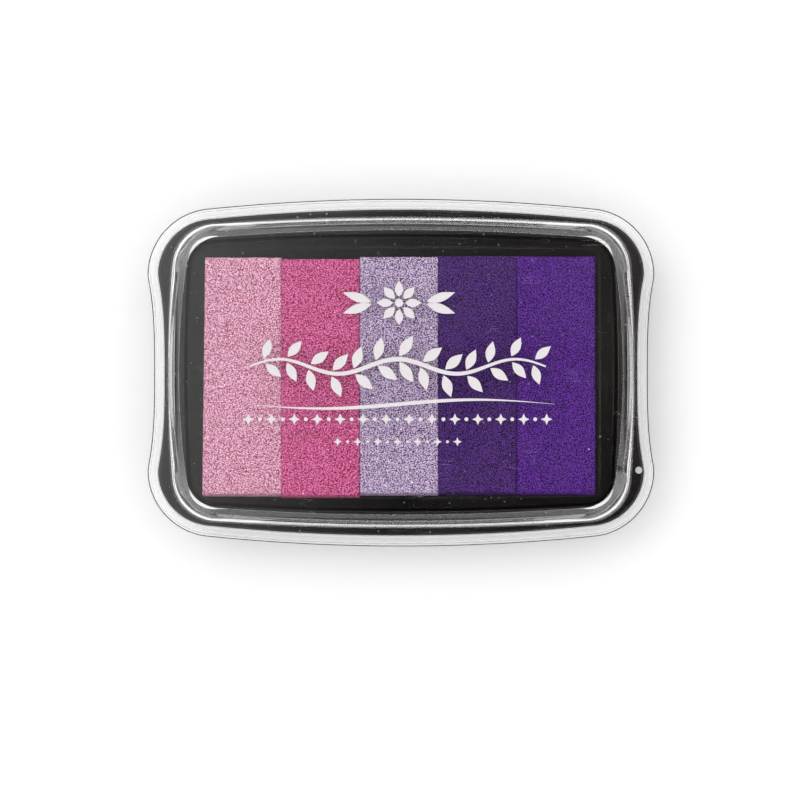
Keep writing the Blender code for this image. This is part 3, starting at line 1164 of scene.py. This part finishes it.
def flourish_outlines():
    """A long tapering line in a shallow S under the garland."""
    steps = 48
    path = wavy_path(-32.0 * MM, 31.4 * MM, -6.5 * MM, -0.9 * MM, 2 * math.pi, steps)
    widths = [(0.06 + 0.72 * math.sin(math.pi * i / steps) ** 1.5) * MM for i in range(steps + 1)]
    return [band_outline(path, widths)]


def bead_outlines(height, width, count, size):
    """A row of small lozenges and dots by turns."""
    outlines = []
    for number in range(count):
        x = -0.7 * MM + width * (number / (count - 1) - 0.5)
        bead = disc_outline(0.42 * size, 12) if number % 2 else star_outline(1.25 * size, 4, 0.42)
        outlines.append(moved(bead, (x, height)))
    return outlines


# --- The stage ---


def studio_world(settings):
    """A broad pale dome, dim at the horizon and dark overhead, where the camera stands.

    Overhead it is lighter to the left and the back, and warmer to the right and the front.
    """
    world = bpy.data.worlds.new("studio")
    graph = empty_graph(world)
    place = graph.add("TexCoord").outputs["Generated"]
    x, y, z = graph.add("SeparateXYZ", Vector=place).outputs
    to_left = graph.times(x, -5.6)
    to_back = graph.times(y, 2.4)
    to_sides = graph.times(graph.times(x, x), 140.0)
    overhead = graph.plus(graph.plus(to_left, to_back), graph.plus(to_sides, 0.07))
    overhead = graph.math("MINIMUM", graph.math("MAXIMUM", overhead, 0.03), 0.9)
    slant = graph.math("SUBTRACT", graph.times(y, 0.7), x)
    bias = graph.ramp(slant, -1.0, 1.0, 1.0 - settings.bias, 1.0 + settings.bias)
    dome = graph.times(graph.ramp(z, 0.15, 0.55, settings.horizon, 1.0), bias)
    dome = graph.times(dome, settings.sky)
    strength = graph.add("Mix", {"data_type": "FLOAT"})
    upward = graph.ramp(z, OVERHEAD_START, OVERHEAD_FULL)
    graph.feed(strength.inputs[0], upward)
    graph.feed(strength.inputs[2], dome)
    graph.feed(strength.inputs[3], overhead)
    warm = graph.times(upward, graph.ramp(slant, -0.06, 0.04, 1.0, 0.0))
    shade = graph.mix(warm, (1.0, 0.99, 0.998), (1.0, 0.84, 0.74))
    light = graph.add("Background", Color=shade, Strength=strength.outputs[0])
    graph.add("OutputWorld", Surface=light.outputs[0])
    bpy.context.scene.world = world


def area_light(name, place, size, power):
    """A square soft light that points at the pad."""
    light = bpy.data.lights.new(name, "AREA")
    light.shape = "SQUARE"
    light.size = size
    light.energy = power
    obj = bpy.data.objects.new(name, light)
    bpy.context.scene.collection.objects.link(obj)
    obj.location = place
    obj.rotation_euler = (-Vector(place)).to_track_quat("-Z", "Y").to_euler()


class INKPAD_OT_make_stage(bpy.types.Operator):
    """Makes the table top, the soft light and the camera above the pad"""

    bl_idname = "inkpad.make_stage"
    bl_label = "Stage"

    def execute(self, context):
        settings = context.scene.ink_pad.stage
        shape = bmesh.new()
        bmesh.ops.create_grid(shape, x_segments=4, y_segments=4, size=3.0)
        table = add_piece("table_top", shape, [table_top(settings)])
        table.location.z = CAD_BOX[0].z - SMALL_GAP
        studio_world(settings)
        area_light("key", (-0.55, 0.42, 0.75), 0.55, settings.key)
        area_light("fill", (0.75, -0.35, 0.65), 0.6, settings.key * 0.22)
        camera_data = bpy.data.cameras.new("camera")
        camera_data.lens = settings.lens
        camera_data.sensor_width = 36.0
        camera_data.clip_start = 0.05
        camera_data.clip_end = 20.0
        camera = bpy.data.objects.new("camera", camera_data)
        context.scene.collection.objects.link(camera)
        camera.location = (settings.aim_x, settings.aim_y, settings.camera_height)
        context.scene.camera = camera
        context.scene.view_settings.view_transform = "Standard"
        return {"FINISHED"}


# --- Panel and registration ---


class INKPAD_PT_builder(bpy.types.Panel):
    """Lists the ink pad's pieces in the order in which they are made"""

    bl_idname = "INKPAD_PT_builder"
    bl_label = "Ink Pad"
    bl_space_type = "VIEW_3D"
    bl_region_type = "UI"
    bl_category = "Ink Pad"

    def draw(self, context):
        for operator in OPERATORS:
            self.layout.operator(operator.bl_idname)


SETTINGS = (
    InkPadLidSettings,
    InkPadTraySettings,
    InkPadFoamSettings,
    InkPadPrintSettings,
    InkPadStageSettings,
    InkPadSettings,
)
OPERATORS = (
    INKPAD_OT_make_stage,
    INKPAD_OT_make_lid,
    INKPAD_OT_make_tray,
    INKPAD_OT_make_foam,
    INKPAD_OT_make_label,
    INKPAD_OT_print_lid,
)
CLASSES = (*SETTINGS, *OPERATORS, INKPAD_PT_builder)


def register():
    for each in CLASSES:
        bpy.utils.register_class(each)
    bpy.types.Scene.ink_pad = PointerProperty(type=InkPadSettings)


def unregister():
    del bpy.types.Scene.ink_pad
    for each in reversed(CLASSES):
        bpy.utils.unregister_class(each)


def main():
    register()
    build_groups()
    bpy.ops.inkpad.make_stage()
    bpy.ops.inkpad.make_lid()
    bpy.ops.inkpad.make_tray()
    bpy.ops.inkpad.make_foam()
    bpy.ops.inkpad.make_label()
    bpy.ops.inkpad.print_lid()


if __name__ == "__main__":
    main()
